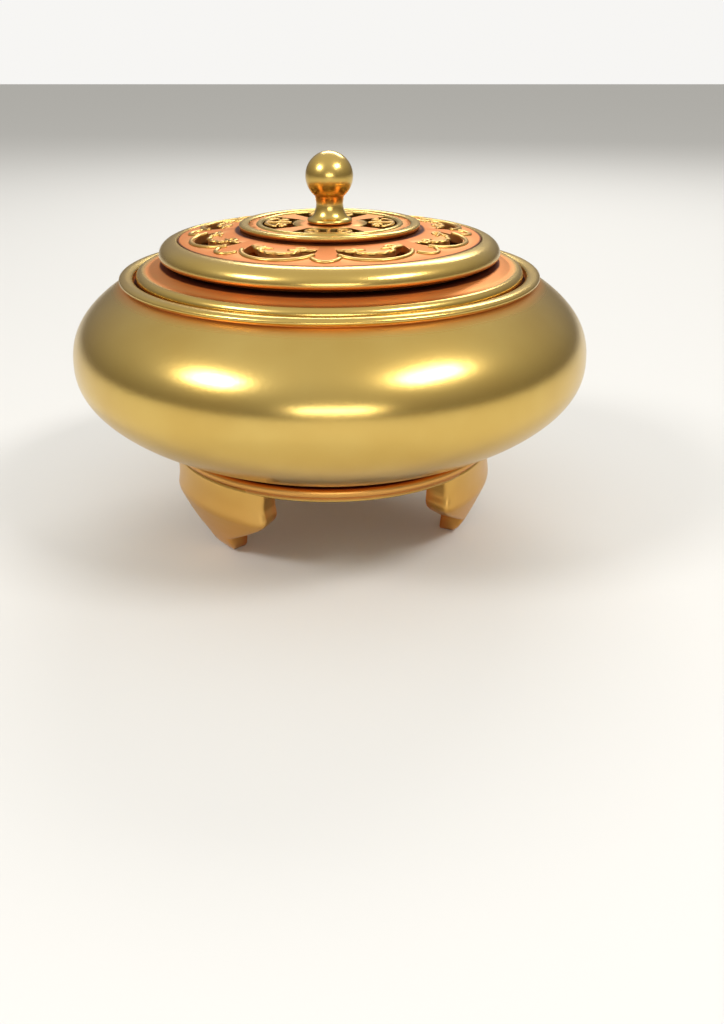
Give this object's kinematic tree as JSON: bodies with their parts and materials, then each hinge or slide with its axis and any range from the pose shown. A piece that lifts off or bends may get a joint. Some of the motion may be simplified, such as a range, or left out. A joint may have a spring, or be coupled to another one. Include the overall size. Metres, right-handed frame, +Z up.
{
  "type": "lidded tripod incense burner",
  "caption": "Squat round brass incense burner on a foot ring with bracket feet, with a loose pierced lid and ball knob.",
  "frame": {"origin": "on the burner's axis, on the surface that the feet stand on", "axes": "+Z up along the axis; -Y towards the viewer of the picture; +X to the viewer's right"},
  "size_m": [0.13, 0.13, 0.0949],
  "materials": {
    "polished_brass": "satin polished golden brass",
    "matte_patina": "matte orange patina with polished relief",
    "base_brass": "amber polished brass"
  },
  "bodies": {
    "burner": {"bowl": "polished_brass", "foot_ring": "polished_brass", "foot_front_left": "polished_brass", "foot_right": "polished_brass", "foot_rear": "polished_brass", "base_plate": "base_brass", "seal_roundel": "base_brass"},
    "lid": {"lid_flange": "polished_brass", "lid_dome": "polished_brass", "lid_grille": "matte_patina", "lid_rosette": "matte_patina", "knob": "polished_brass", "knob_stud": "base_brass", "knob_washer": "base_brass", "knob_nut": "base_brass"}
  },
  "joints": [
    {"name": "lid_lift", "type": "slide", "parent": "burner", "child": "lid", "axis": [0, 0, 1], "range_m": [0, 0.06]}
  ]
}
